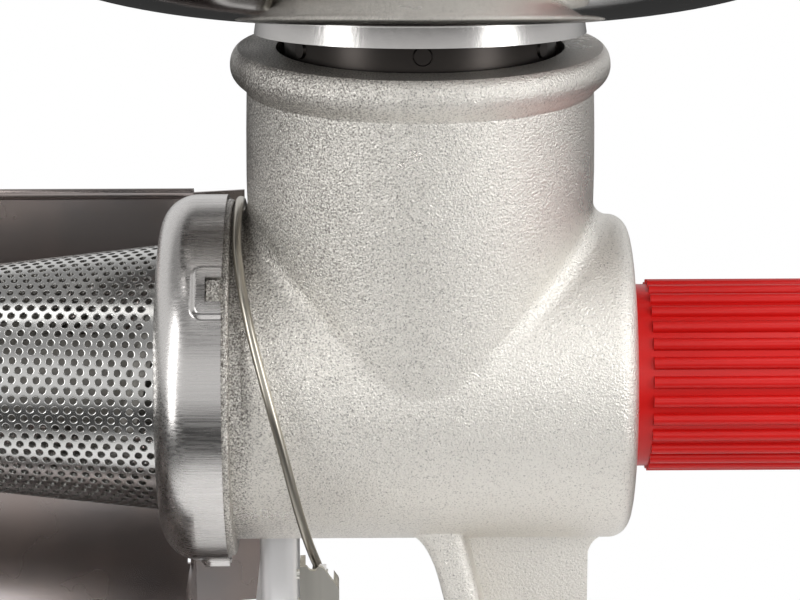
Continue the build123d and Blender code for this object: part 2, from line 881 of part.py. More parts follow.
with BuildPart() as drip_pan:
    pan_outer = pan_section(pan_left, pan_floor, 0, False)
    extrude(pan_outer.sketch, amount=pan_right - pan_left)
    pan_inner = pan_section(pan_left + pan_sheet, pan_floor, pan_sheet, True)
    extrude(pan_inner.sketch, amount=pan_right - pan_left - 2 * pan_sheet, mode=Mode.SUBTRACT)
    # the right end stands only as high as the yoke
    with BuildSketch(across(pan_right - 2 * pan_sheet)):
        with Locations((pan_back / 2 + pan_front / 2, pan_top)):
            Rectangle(pan_back - pan_front - 2 * pan_sheet, 2 * (pan_top - yoke_top + yoke_sheet))
    extrude(amount=3 * pan_sheet, mode=Mode.SUBTRACT)
    # round notch for the cone's open end, and the mouth of the spout
    with BuildSketch(across(pan_left - 1)):
        Circle(cone_notch_radius)
        with Locations((0, pan_floor + pan_sheet + spout_side / 2)):
            Rectangle(2 * spout_half, spout_side)
    extrude(amount=3, mode=Mode.SUBTRACT)
    # tab under the yoke
    tab_top = yoke_top - yoke_sheet
    with BuildSketch(level(tab_top - pan_sheet)):
        with Locations((pan_right - pan_sheet + pan_tab / 2, 0)):
            Rectangle(pan_tab, 2 * pan_tab_half)
    extrude(amount=pan_sheet)
    # spout
    with BuildSketch(across(pan_left + pan_sheet)):
        with BuildLine():
            floor = pan_floor
            Polyline(
                (-spout_half, floor + spout_side),
                (-spout_half, floor),
                (spout_half, floor),
                (spout_half, floor + spout_side),
                (spout_half - pan_sheet, floor + spout_side),
                (spout_half - pan_sheet, floor + pan_sheet),
                (-spout_half + pan_sheet, floor + pan_sheet),
                (-spout_half + pan_sheet, floor + spout_side),
                close=True,
            )
        make_face()
    extrude(amount=-spout_length)
    # corner of the end wall behind the trough's curve
    with BuildSketch(across(pan_right - pan_sheet)):
        with Locations((pan_back - pan_back_curve / 2, pan_floor + pan_back_curve / 2)):
            Rectangle(pan_back_curve, pan_back_curve)
        with Locations((pan_back - pan_back_curve, pan_floor + pan_back_curve)):
            Circle(pan_back_curve - pan_sheet, mode=Mode.SUBTRACT)
    extrude(amount=pan_sheet)
    # wing bent back from the right edge of the back wall
    wing_turn = radians(wing_angle)
    with BuildSketch(level(pan_floor)):
        with BuildLine():
            Polyline(
                (pan_right - 1, pan_back - pan_sheet),
                (pan_right, pan_back - pan_sheet),
                (pan_right + wing_reach * cos(wing_turn), pan_back - pan_sheet + wing_reach * sin(wing_turn)),
                (pan_right + wing_reach * cos(wing_turn), pan_back + wing_reach * sin(wing_turn)),
                (pan_right, pan_back),
                (pan_right - 1, pan_back),
                close=True,
            )
        make_face()
    extrude(amount=pan_top + wing_rise - pan_floor)
    # rolled edges of the back and front walls
    for y, z in ((pan_back - pan_sheet / 2, pan_top), (pan_front + pan_sheet / 2, pan_lip)):
        with BuildSketch(across(pan_left)):
            with Locations((y, z)):
                Circle(pan_hem)
        extrude(amount=pan_hem_right - pan_left)
    # rivet holes in the tab
    with BuildSketch(level(tab_top - 2 * pan_sheet)):
        with Locations((rivet_x, -rivet_y), (rivet_x, rivet_y)):
            Circle(rivet_radius)
    extrude(amount=3 * pan_sheet, mode=Mode.SUBTRACT)
save(drip_pan.part, "drip_pan")

# ---------------------------------------------------------------- saddle post and yoke
with BuildPart() as saddle_post:
    with BuildSketch(level(yoke_top)) as post_sketch:
        with Locations(((post_left + post_right) / 2, 0)):
            RectangleRounded(post_right - post_left, 2 * post_half, post_corner)
            RectangleRounded(
                post_right - post_left - 2 * post_sheet, 2 * (post_half - post_sheet), post_corner - post_sheet,
                mode=Mode.SUBTRACT,
            )
    extrude(amount=-yoke_top)
    with BuildSketch(across(post_left - 1)):
        Circle(tube_radius + seat_gap)
    extrude(amount=post_right - post_left + 2, mode=Mode.SUBTRACT)
save(saddle_post.part, "saddle_post")

eye_bore = wire_radius + running_gap
eye_radius = eye_bore + yoke_sheet
upright_outer = bail_radius + eye_radius
strap_right = yoke_left + strap_width
tongue_left = bail_drop_x + wire_radius + tongue_gap
tongue_right = tongue_left + yoke_sheet
with BuildPart() as yoke:
    with BuildSketch(level(yoke_top - yoke_sheet)):
        with BuildLine():
            Polyline(
                (yoke_left, yoke_front),
                (yoke_left, upright_outer),
                (strap_right, upright_outer),
                (strap_right, yoke_step),
                (tongue_right, yoke_step),
                (tongue_right, yoke_front),
                close=True,
            )
        make_face()
    extrude(amount=yoke_sheet)
    with BuildSketch(across(yoke_left)):
        with Locations((upright_outer - yoke_sheet / 2, (yoke_top - yoke_sheet + bail_anchor_height) / 2)):
            Rectangle(yoke_sheet, bail_anchor_height - yoke_top + yoke_sheet)
        with Locations((bail_radius, bail_anchor_height)):
            Circle(eye_radius)
        with Locations((bail_radius, bail_anchor_height)):
            Circle(eye_bore, mode=Mode.SUBTRACT)
    extrude(amount=strap_width)
    with BuildSketch(across(tongue_left)):
        with BuildLine():
            Polyline(
                (-26, yoke_top - yoke_sheet),
                (yoke_front, yoke_top - yoke_sheet),
                (pivot_y - tongue_end_radius, pivot_height),
                (pivot_y + tongue_end_radius, pivot_height),
                close=True,
            )
        make_face()
        with Locations((pivot_y, pivot_height)):
            Circle(tongue_end_radius)
        with Locations((pivot_y, pivot_height)):
            Circle(pivot_pin_radius + running_gap, mode=Mode.SUBTRACT)
    extrude(amount=yoke_sheet)
    with BuildSketch(level(yoke_top - 2 * yoke_sheet)):
        with Locations((rivet_x, -rivet_y), (rivet_x, rivet_y)):
            Circle(rivet_radius)
    extrude(amount=3 * yoke_sheet, mode=Mode.SUBTRACT)
save(yoke.part, "yoke")

with BuildPart() as pan_rivets:
    rivet_bottom = yoke_top - yoke_sheet - pan_sheet
    for y in (-rivet_y, rivet_y):
        with BuildSketch(level(rivet_bottom - rivet_head)):
            with Locations((rivet_x, y)):
                Circle(rivet_head_radius)
        extrude(amount=rivet_head)
        with BuildSketch(level(rivet_bottom)):
            with Locations((rivet_x, y)):
                Circle(rivet_radius)
        extrude(amount=yoke_sheet + pan_sheet)
        with BuildSketch(level(yoke_top)):
            with Locations((rivet_x, y)):
                Circle(rivet_head_radius)
        extrude(amount=rivet_head)
save(pan_rivets.part, "pan_rivets")

# ---------------------------------------------------------------- bail wire
leave = radians(bail_leave_angle)
with BuildPart() as bail_wire:
    with BuildLine() as bail_path:
        FilletPolyline(
            (yoke_left + strap_width + 2, bail_radius, axis_height + bail_anchor_height),
            (bail_x, bail_radius, axis_height + bail_anchor_height),
            (bail_x, bail_radius, axis_height),
            radius=bail_bend,
        )
        with BuildLine(across(bail_x)):
            CenterArc((0, 0), bail_radius, 0, bail_leave_angle + 90)
        Spline(
            (bail_x, -bail_radius * sin(leave), axis_height + bail_radius * cos(leave)),
            *[
                (bail_drop_x - bail_slope * (z - bail_drop_height), -sqrt(bail_radius**2 - z**2), axis_height + z)
                for z in (29.0, 16.0, 2.0)
            ],
            (bail_drop_x, bail_drop_y, axis_height + bail_drop_height),
            tangents=[(0, -cos(leave), -sin(leave)), (0.05, 0.02, -1)],
        )
        FilletPolyline(
            (bail_drop_x, bail_drop_y, axis_height + bail_drop_height),
            (bail_drop_x, bail_drop_y, axis_height + foot_height),
            (bail_drop_x, bail_foot_tip, axis_height + foot_height),
            radius=bail_foot_bend,
        )
    with BuildSketch(Plane(origin=bail_path.line @ 0, z_dir=bail_path.line % 0)):
        Circle(wire_radius)
    sweep(path=bail_path.line)
save(bail_wire.part, "bail_wire")

# ---------------------------------------------------------------- latch lever and its pins
lever_mid = (lever_left + lever_right) / 2
lever_back = lever_front + lever_depth
with BuildPart() as latch_lever:
    with BuildSketch(side_on(lever_front)) as web_outline:
        with BuildLine():
            Polyline(
                (lever_left, lever_bottom),
                (lever_left, lever_top),
                (lever_right - lever_chamfer_run, lever_top),
                (lever_right, lever_top - lever_chamfer_drop),
                (lever_right, lever_bottom),
                close=True,
            )
        make_face()
        fillet(corner(web_outline, lever_right, lever_top - lever_chamfer_drop), 2.0)
        fillet(corner(web_outline, lever_right - lever_chamfer_run, lever_top), 1.5)
    extrude(amount=-lever_depth)
    with BuildSketch(level(lever_bottom - 1)):
        with Locations((lever_mid, lever_front + lever_sheet + lever_depth / 2)):
            Rectangle(lever_right - lever_left - 2 * lever_sheet, lever_depth)
    extrude(amount=lever_top - lever_bottom + 2, mode=Mode.SUBTRACT)
    with BuildSketch(side_on(lever_front - 1)):
        with Locations((bail_drop_x, lever_top + notch_width / 2 - notch_depth)):
            Circle(notch_width / 2)
    extrude(amount=-lever_sheet - 1.5, mode=Mode.SUBTRACT)
    # flared thumb end
    with BuildSketch(across(lever_left)):
        with BuildLine():
            Polyline(
                (lever_front, lever_bottom + 0.01),
                (lever_front - 3.5, lever_bottom - lever_flare),
                (lever_front - 3.5 + lever_sheet, lever_bottom - lever_flare - 0.4),
                (lever_front + lever_sheet, lever_bottom + 0.01),
                close=True,
            )
        make_face()
    extrude(amount=lever_right - lever_left)
    with BuildSketch(across(lever_left - 1)):
        with Locations((pivot_y, pivot_height)):
            Circle(pivot_pin_radius)
    extrude(amount=lever_sheet + 2, mode=Mode.SUBTRACT)
    with BuildSketch(across(lever_left - 1)):
        with Locations((pivot_y, hook_height)):
            Circle(hook_pin_radius)
    extrude(amount=lever_sheet + 2, mode=Mode.SUBTRACT)
save(latch_lever.part, "latch_lever")

with BuildPart() as pivot_pin:
    with BuildSketch(across(lever_left - 0.8)):
        with Locations((pivot_y, pivot_height)):
            Circle(pivot_pin_radius)
    extrude(amount=tongue_right - lever_left + 1.2)
save(pivot_pin.part, "pivot_pin")

with BuildPart() as hook_pin:
    with BuildSketch(across(lever_left - 0.6)):
        with Locations((pivot_y, hook_height)):
            Circle(hook_pin_radius)
    extrude(amount=lever_sheet + 0.6 + hook_reach)
save(hook_pin.part, "hook_pin")

# ---------------------------------------------------------------- clamp screw, pad and tommy bar
with BuildPart() as clamp_screw:
    with BuildSketch(level(screw_bottom)):
        Circle(screw_radius)
    extrude(amount=screw_length)
    with BuildSketch(level(screw_top)):
        Circle(journal_radius)
    extrude(amount=journal_top - 0.3 - screw_top)
    with BuildSketch(level(screw_bottom)):
        Circle(screw_head_radius)
    extrude(amount=screw_head_length)
    with BuildSketch(Plane(origin=(0, -screw_head_radius - 1, axis_height + bar_height), x_dir=(1, 0, 0), z_dir=(0, 1, 0))):
        Circle(bar_radius + running_gap)
    extrude(amount=2 * screw_head_radius + 2, mode=Mode.SUBTRACT)
save(clamp_screw.part, "clamp_screw")

with BuildPart() as clamp_pad:
    with BuildSketch(level(pad_top - pad_thickness)):
        Circle(pad_radius)
    extrude(amount=pad_thickness)
    with BuildSketch(level(pad_top - pad_thickness - pad_boss)):
        Circle(pad_boss_radius)
    extrude(amount=pad_boss)
    with BuildSketch(level(pad_top - pad_thickness - pad_boss)):
        Circle(journal_radius + journal_gap)
    extrude(amount=journal_top - (pad_top - pad_thickness - pad_boss), mode=Mode.SUBTRACT)
save(clamp_pad.part, "clamp_pad")

with BuildPart() as pad_cover:
    with BuildSketch(level(pad_top)):
        Circle(pad_radius)
    extrude(amount=cover_thickness)
save(pad_cover.part, "pad_cover")

bar_plane = Plane(origin=(0, -bar_half, axis_height + bar_height), x_dir=(1, 0, 0), z_dir=(0, 1, 0))
with BuildPart() as tommy_bar:
    with BuildSketch(bar_plane):
        Circle(bar_radius)
    extrude(amount=2 * bar_half)
save(tommy_bar.part, "tommy_bar")

with BuildPart() as bar_balls:
    with Locations((0, -bar_half, axis_height + bar_height), (0, bar_half, axis_height + bar_height)):
        Sphere(bar_ball_radius)
    with BuildSketch(bar_plane):
        Circle(bar_radius)
    extrude(amount=2 * bar_half, mode=Mode.SUBTRACT)
save(bar_balls.part, "bar_balls")
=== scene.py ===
# %% [markdown]
# # A tomato strainer with crank, lit like a studio photograph
# The machine is clamped to a table's edge. Tomatoes go into the hopper, the crank turns an auger in the
# cast tube, and the juice leaves through the holes of a steel cone over a drip pan. The solids come packed
# from CAD, each in its own place, and nothing here moves them. They get their finishes, and the forms that
# are too fine for CAD are added: the holes of the cone, the evenly bent wire and the soft pockets of the
# ring.
# Lengths are in metres. +X points along the drive axis towards the crank, -Y to the front, +Z up.

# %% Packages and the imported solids
import math

import bpy
import numpy as np
from mathutils import Matrix, Vector


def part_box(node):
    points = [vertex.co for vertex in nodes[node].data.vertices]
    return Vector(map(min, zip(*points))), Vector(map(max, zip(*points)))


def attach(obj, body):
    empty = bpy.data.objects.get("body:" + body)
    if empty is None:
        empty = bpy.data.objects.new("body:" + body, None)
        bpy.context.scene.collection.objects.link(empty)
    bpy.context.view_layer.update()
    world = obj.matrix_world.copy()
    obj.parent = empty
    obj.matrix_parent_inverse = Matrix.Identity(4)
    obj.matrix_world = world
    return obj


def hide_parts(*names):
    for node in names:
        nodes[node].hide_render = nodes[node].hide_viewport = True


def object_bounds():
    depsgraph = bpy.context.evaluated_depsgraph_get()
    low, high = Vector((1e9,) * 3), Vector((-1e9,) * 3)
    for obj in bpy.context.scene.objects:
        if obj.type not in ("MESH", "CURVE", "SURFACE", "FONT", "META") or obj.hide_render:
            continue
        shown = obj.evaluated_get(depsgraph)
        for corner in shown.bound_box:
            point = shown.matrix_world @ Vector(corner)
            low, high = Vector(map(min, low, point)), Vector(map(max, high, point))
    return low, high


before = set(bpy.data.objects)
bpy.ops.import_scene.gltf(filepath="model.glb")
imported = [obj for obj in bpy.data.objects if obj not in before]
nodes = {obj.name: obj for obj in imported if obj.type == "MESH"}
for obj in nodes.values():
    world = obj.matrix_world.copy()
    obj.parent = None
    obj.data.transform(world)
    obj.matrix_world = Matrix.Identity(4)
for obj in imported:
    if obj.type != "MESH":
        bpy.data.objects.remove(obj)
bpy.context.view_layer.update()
MM = 0.001
AXIS_HEIGHT = 125.0 * MM  # the drive axis above the table's top

# %% [markdown]
# ## Helpers for the finishes
# Every finish is one Principled surface, because that shader goes over whole to other programs. A value
# that is the same all over is set on the shader's own socket. What varies over a piece, such as grain or
# brushing, is a noise on the piece's own coordinates: it stays where it is when a joint moves the piece,
# and it needs no unwrapped map.


# %% A material and its shader
def new_material(name, color, metallic, roughness):
    """A Principled material with one colour, one metallic share and one roughness."""
    material = bpy.data.materials.new(name)
    material.use_nodes = True
    shader = shader_of(material)
    shader.inputs["Base Color"].default_value = (*color, 1)
    shader.inputs["Metallic"].default_value = metallic
    shader.inputs["Roughness"].default_value = roughness
    return material


def shader_of(material):
    return material.node_tree.nodes["Principled BSDF"]


# %% Shader nodes and their links
def add_node(material, kind, **inputs):
    """A shader node of that kind with the given input values."""
    node = material.node_tree.nodes.new(kind)
    for key, value in inputs.items():
        node.inputs[key.replace("_", " ")].default_value = value
    return node


def link(material, out, into):
    material.node_tree.links.new(out, into)


def drive(material, socket, value):
    """Lets a value set one of the shader's sockets."""
    link(material, value, shader_of(material).inputs[socket])


# %% Places and noise on the piece
def object_coordinates(material, scale=(1, 1, 1)):
    """Object coordinates times a scale. A small scale draws a pattern out along that direction."""
    place = add_node(material, "ShaderNodeTexCoord")
    mapping = add_node(material, "ShaderNodeMapping", Scale=scale)
    link(material, place.outputs["Object"], mapping.inputs["Vector"])
    return mapping.outputs["Vector"]


def noise(material, coordinates, scale, detail=4.0, roughness=0.6):
    """Noise from 0 to 1 whose blots are about 1 / scale metres wide."""
    texture = add_node(material, "ShaderNodeTexNoise", Scale=scale, Detail=detail, Roughness=roughness)
    link(material, coordinates, texture.inputs["Vector"])
    return texture.outputs["Fac"]


def along(material, coordinates, direction, start, end):
    """Runs from 0 at start to 1 at end along one of the coordinates X, Y or Z, and stays level beyond."""
    parts = add_node(material, "ShaderNodeSeparateXYZ")
    link(material, coordinates, parts.inputs["Vector"])
    node = add_node(material, "ShaderNodeMapRange", From_Min=start, From_Max=end)
    link(material, parts.outputs[direction], node.inputs["Value"])
    return node.outputs["Result"]


# %% Sums, ramps and bumps
def arithmetic(material, operation, first, second):
    """A maths node on two sockets or numbers."""
    node = add_node(material, "ShaderNodeMath")
    node.operation = operation
    for place, value in enumerate((first, second)):
        if isinstance(value, (int, float)):
            node.inputs[place].default_value = value
        else:
            link(material, value, node.inputs[place])
    return node.outputs["Value"]


def grey(value):
    return (value, value, value)


def ramp(material, value, low, high, low_color, high_color):
    """Colour that runs from low_color to high_color as value runs from low to high."""
    node = add_node(material, "ShaderNodeValToRGB")
    node.color_ramp.elements[0].position = low
    node.color_ramp.elements[1].position = high
    node.color_ramp.elements[0].color = (*low_color, 1)
    node.color_ramp.elements[1].color = (*high_color, 1)
    link(material, value, node.inputs["Fac"])
    return node.outputs["Color"]


def bump(material, value, distance, strength=1.0):
    """Raises the surface by value times distance."""
    node = add_node(material, "ShaderNodeBump", Distance=distance, Strength=strength)
    link(material, value, node.inputs["Height"])
    drive(material, "Normal", node.outputs["Normal"])


# %% [markdown]
# ## The tinned casting
# The body is cast iron from a sand mould, dipped in tin. The sand leaves a fine relief. A modelled relief
# would take millions of faces for grains of half a millimetre, so a fine noise bumps the surface. A second,
# finer noise paints dark specks. Painted shade makes them darker and denser to the left, higher up, in broad
# patches and along the edge beside the ring, where less light falls.

# %% Casting
GRAIN_FINENESS = 1900.0
GRAIN_HEIGHT = 0.36 * MM
SPECK_FINENESS = 2200.0
PATCH_FINENESS = 45.0
RING_SIDE_EDGE = (-38.5 * MM, -41.5 * MM)

cast = new_material("tinned casting", (0.8, 0.785, 0.76), 0.85, 0.3)
cast_place = object_coordinates(cast)
grain = noise(cast, cast_place, GRAIN_FINENESS, 3.0, 0.6)
patches = noise(cast, cast_place, PATCH_FINENESS, 4.0, 0.6)
specks = noise(cast, cast_place, SPECK_FINENESS, 4.0, 0.7)
drive(cast, "Roughness", ramp(cast, patches, 0.3, 0.7, grey(0.26), grey(0.36)))
bump(cast, grain, GRAIN_HEIGHT)

# %% Painted shade on the casting
# Painted shade: the speck pattern turns darker to the left, higher up, in broad patches and beside the ring
leftward = along(cast, cast_place, "X", 20.0 * MM, -40.0 * MM)
upward = along(cast, cast_place, "Z", 110.0 * MM, 180.0 * MM)
edge = along(cast, cast_place, "X", *RING_SIDE_EDGE)
height_share = arithmetic(cast, "ADD", arithmetic(cast, "MULTIPLY", upward, 0.8), 0.2)
painted_shade_mask = arithmetic(cast, "MULTIPLY", leftward, height_share)
painted_shade_mask = arithmetic(cast, "MULTIPLY", painted_shade_mask, arithmetic(cast, "ADD", patches, 0.35))
painted_shade_mask = arithmetic(cast, "ADD", painted_shade_mask, arithmetic(cast, "MULTIPLY", edge, 0.45))
specks_and_painted_shade = arithmetic(cast, "SUBTRACT", specks, arithmetic(cast, "MULTIPLY", painted_shade_mask, 0.19))
drive(cast, "Base Color", ramp(cast, specks_and_painted_shade, 0.24, 0.46, (0.17, 0.155, 0.14), (0.83, 0.80, 0.745)))
print("casting:", len(cast.node_tree.nodes), "shader nodes")

# %% [markdown]
# ## Brushed steel of the ring and the collar
# The ring is spun from sheet and brushed along the drive axis, and the collar shows faint upright streaks.
# Brushing is a bundle of fine grooves, which spreads a highlight across them. The shader's anisotropy would
# spread it too, but shows no single groove. A noise that is fine across the grooves and drawn out along them
# gives both the change of gloss and the relief.

# %% Ring and collar
ring_steel = new_material("brushed ring", (0.62, 0.60, 0.585), 1.0, 0.3)
ring_place = object_coordinates(ring_steel, (0.03, 1, 1))
ring_lines = noise(ring_steel, ring_place, 2600.0, 2.0, 0.5)
drive(ring_steel, "Roughness", ramp(ring_steel, ring_lines, 0.3, 0.7, grey(0.2), grey(0.34)))
bump(ring_steel, ring_lines, 0.03 * MM, 0.6)

collar_steel = new_material("turned collar", (0.58, 0.565, 0.55), 1.0, 0.26)
collar_place = object_coordinates(collar_steel, (1, 1, 0.02))
collar_streaks = noise(collar_steel, collar_place, 900.0, 2.0, 0.5)
bump(collar_steel, collar_streaks, 0.06 * MM, 0.6)
print("brushed finishes:", ring_steel.name, "and", collar_steel.name)

# %% [markdown]
# ## Polished sheet of the hopper and the pan
# Both are bright stainless sheet. A perfect mirror would look like glass, so broad patches of noise make
# some places a little duller, as a hand that wiped them does. The pan is duller, since it blurs the cone that
# stands before it. Its colour is darker, with reddish patches: a painted dark reflection.

# %% Hopper and pan
sheet = new_material("polished sheet", (0.66, 0.65, 0.64), 1.0, 0.08)
sheet_smear = noise(sheet, object_coordinates(sheet), 60.0, 3.0, 0.5)
drive(sheet, "Roughness", ramp(sheet, sheet_smear, 0.3, 0.75, grey(0.05), grey(0.11)))

# The pan's dark base colour and the reddish patches from its smear noise are a painted dark reflection
pan_steel = new_material("mirror pan", (0.33, 0.305, 0.30), 1.0, 0.05)
pan_smear_and_painted_reflection = noise(pan_steel, object_coordinates(pan_steel), 35.0, 3.0, 0.5)
drive(pan_steel, "Roughness", ramp(pan_steel, pan_smear_and_painted_reflection, 0.45, 0.7, grey(0.24), grey(0.3)))
pan_painted_reflection = ramp(pan_steel, pan_smear_and_painted_reflection, 0.4, 0.75, (0.36, 0.33, 0.325), (0.44, 0.36, 0.33))
drive(pan_steel, "Base Color", pan_painted_reflection)
print("polished finishes:", sheet.name, "and", pan_steel.name)

# %% [markdown]
# ## Small metal parts, plastics and rubber
# The lever is pressed from strip, and the bands of lighter and darker colour that run along it are painted
# reflections. The others are so small or so even that one colour and one roughness each are enough. The red
# plastic reflects less than the usual value, which keeps its red deep under a broad light.

# %% Lever, with painted reflection bands
lever_steel = new_material("pressed lever", (0.72, 0.69, 0.62), 1.0, 0.36)
lever_painted_bands = noise(lever_steel, object_coordinates(lever_steel, (1, 1, 0.02)), 160.0, 2.0, 0.5)
lever_painted_reflection = ramp(lever_steel, lever_painted_bands, 0.35, 0.65, (0.52, 0.50, 0.45), (0.82, 0.79, 0.72))
drive(lever_steel, "Base Color", lever_painted_reflection)

# %% Even finishes
cone_steel = new_material("perforated cone", (0.64, 0.635, 0.62), 1.0, 0.22)
# The spigot is polished steel; its near-black colour is painted shade and dark reflection inside the collar's
# bore
spigot_painted_shade = new_material("dark spigot", (0.045, 0.04, 0.037), 1.0, 0.35)
wire_steel = new_material("drawn wire", (0.46, 0.43, 0.37), 1.0, 0.28)
post_steel = new_material("soft sheet", (0.90, 0.89, 0.89), 0.55, 0.28)
plated = new_material("plated steel", (0.70, 0.69, 0.65), 1.0, 0.3)
bronze = new_material("bearing bronze", (0.62, 0.42, 0.2), 1.0, 0.35)
red = new_material("red plastic", (0.47, 0.006, 0.005), 0.0, 0.34)
shader_of(red).inputs["Specular IOR Level"].default_value = 0.3
# The auger's plastic is ivory; its mid grey is painted shade, as it sits inside the cone
auger_painted_shade = new_material("auger plastic", (0.42, 0.40, 0.37), 0.0, 0.45)
rubber = new_material("black rubber", (0.02, 0.02, 0.02), 0.0, 0.6)
print(len(bpy.data.materials), "materials")

# %% [markdown]
# ## Which solid takes which finish
# One table keeps the choice in one place. Every solid is one material all over, as the real pieces are.

# %% Finishes of the solids
finishes = {
    cast: ["body_casting"],
    ring_steel: ["locking_ring"],
    pan_steel: ["drip_pan"],
    sheet: ["hopper_bowl"],
    post_steel: ["saddle_post", "yoke"],
    lever_steel: ["latch_lever"],
    collar_steel: ["hopper_collar"],
    spigot_painted_shade: ["hopper_spigot"],
    wire_steel: ["bail_wire"],
    plated: [
        "pivot_pin", "hook_pin", "pan_rivets", "auger_pin", "thrust_washer", "drive_shaft",
        "crank_arm", "crank_washer", "crank_screw", "grip_pin", "grip_cap", "clamp_screw", "clamp_pad",
        "tommy_bar", "bar_balls",
    ],
    bronze: ["shaft_bushing"],
    red: ["drive_sleeve", "crank_grip"],
    auger_painted_shade: ["auger"],
    rubber: ["shaft_seal", "cone_gasket", "pad_cover"],
    cone_steel: ["screen_cone"],
}
for material, names in finishes.items():
    for name in names:
        mesh = nodes[name].data
        mesh.materials.clear()
        mesh.materials.append(material)
print(sum(len(names) for names in finishes.values()), "solids have their finish")

# %% [markdown]
# ## From arrays to a mesh
# The pieces below are worked out with numpy as whole arrays of points and faces. One helper turns such
# arrays into an object that stands at the origin, as the solids do.


# %% Mesh from arrays
def piece_from(name, points, faces, material, smooth=True):
    """An object with those points and faces. Its place is in its mesh, so it stands unmoved at the origin."""
    mesh = bpy.data.meshes.new(name)
    mesh.from_pydata(np.asarray(points).reshape(-1, 3).tolist(), [], np.asarray(faces).tolist())
    mesh.polygons.foreach_set("use_smooth", np.full(len(mesh.polygons), smooth))
    mesh.materials.append(material)
    piece = bpy.data.objects.new(name, mesh)
    bpy.context.scene.collection.objects.link(piece)
    return piece


def fasten(piece, body):
    """Lets the piece ride on a body."""
    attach(piece, body)


# %% [markdown]
# ## The filter cone
# The real cone is rolled from a flat sheet with holes in staggered rows, which is why the rows keep their
# distance while the cone gets wider. Cutting thousands of holes out of a solid would be slow and leave
# ragged edges. Here the flat sheet is tiled by one small cell per hole, and the whole sheet is then rolled
# up: a cone of half-angle a is a flat sector of angle 2 pi sin(a). Neighbouring cells have the same border
# points, so the skin has no gaps. It's made in two halves, above and below the drive axis, to keep each mesh
# light.

# %% Sizes of the cone and its holes
PITCH = 2.93 * MM  # from hole to hole in a row
ROW = 2.25 * MM  # from row to row
HOLE = 0.84 * MM  # radius of a hole
SOFT_EDGE = 1.28  # the punch draws the sheet in as far as this many hole radii
SHEET = 0.8 * MM
CONE_RIGHT = -62.0 * MM
CONE_RADIUS = 32.0 * MM
CONE_ANGLE = math.radians(6.4)
PLAIN_LEFT = 5.0 * MM  # sheet without holes at the small end
PLAIN_RIGHT = 0.9 * MM
PLAIN_SEAM = 2.0 * MM
cone_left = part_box("screen_cone")[0].x
tip = CONE_RIGHT - CONE_RADIUS / math.tan(CONE_ANGLE)
near_edge = (cone_left - tip) / math.cos(CONE_ANGLE)
far_edge = (CONE_RIGHT - tip) / math.cos(CONE_ANGLE)
half_sector = math.pi * math.sin(CONE_ANGLE)
print(f"cone from x = {cone_left / MM:.1f} to {CONE_RIGHT / MM:.1f} mm, tip at {tip / MM:.1f} mm")


# %% Rolling the flat sheet up
def rolled(u, v, lift):
    """The flat point (u, v) on the cone, raised by lift along the outward normal, and that normal.

    Its distance s from the sector's tip and its angle t give the turn t / sin(a) round the drive axis, at
    x = tip + s cos(a) and at the radius s sin(a). Points beyond the sheet are pulled back to its edges.
    """
    s = np.clip(np.hypot(u, v), near_edge, far_edge)
    t = np.clip(np.arctan2(v, u), -half_sector, half_sector)
    turn = t / math.sin(CONE_ANGLE)
    radius = s * math.sin(CONE_ANGLE) + lift * math.cos(CONE_ANGLE)
    x = tip + s * math.cos(CONE_ANGLE) - lift * math.sin(CONE_ANGLE)
    point = np.stack([x, -radius * np.cos(turn), AXIS_HEIGHT + radius * np.sin(turn)], -1)
    flat = math.cos(CONE_ANGLE)
    leftwards = np.full_like(turn, -math.sin(CONE_ANGLE))
    normal = np.stack([leftwards, -flat * np.cos(turn), flat * np.sin(turn)], -1)
    return point, normal


# %% Centres of the cells
def cell_centres(side):
    """Cell centres on the flat sheet above (1) or below (-1) its middle, and which of them get a hole.

    Rows lie ROW apart, and every other row is shifted by half a pitch.
    """
    widest = math.ceil(far_edge * math.sin(half_sector) / ROW) + 1
    rows = np.arange(-widest, widest + 1)
    first = math.floor(near_edge * math.cos(half_sector) / PITCH) - 1
    columns = np.arange(first, math.ceil(far_edge / PITCH) + 2)
    grid_row, grid_column = np.meshgrid(rows, columns, indexing="ij")
    v = ((grid_row + 0.5) * ROW).ravel()
    u = ((grid_column + 0.5 * (grid_row % 2)) * PITCH).ravel()
    s, t = np.hypot(u, v), np.arctan2(v, u)
    reach = 0.7 * PITCH
    keep = (s > near_edge - reach) & (s < far_edge + reach) & (np.abs(t) < half_sector) & (v * side > 0)
    u, v, s, t = u[keep], v[keep], s[keep], t[keep]
    along_sheet = (s > near_edge + PLAIN_LEFT) & (s < far_edge - PLAIN_RIGHT)
    return u, v, along_sheet & (np.abs(t) < half_sector - PLAIN_SEAM / s)


# %% One cell round each hole
# Twelve points round the border of a cell, in quarters of its pitch and row
CELL_U = np.array([0, 1, 2, 2, 2, 1, 0, -1, -2, -2, -2, -1]) * PITCH / 4
CELL_V = np.array([2, 2, 2, 0, -2, -2, -2, -2, -2, 0, 2, 2]) * ROW / 4
CORNERS = len(CELL_U)


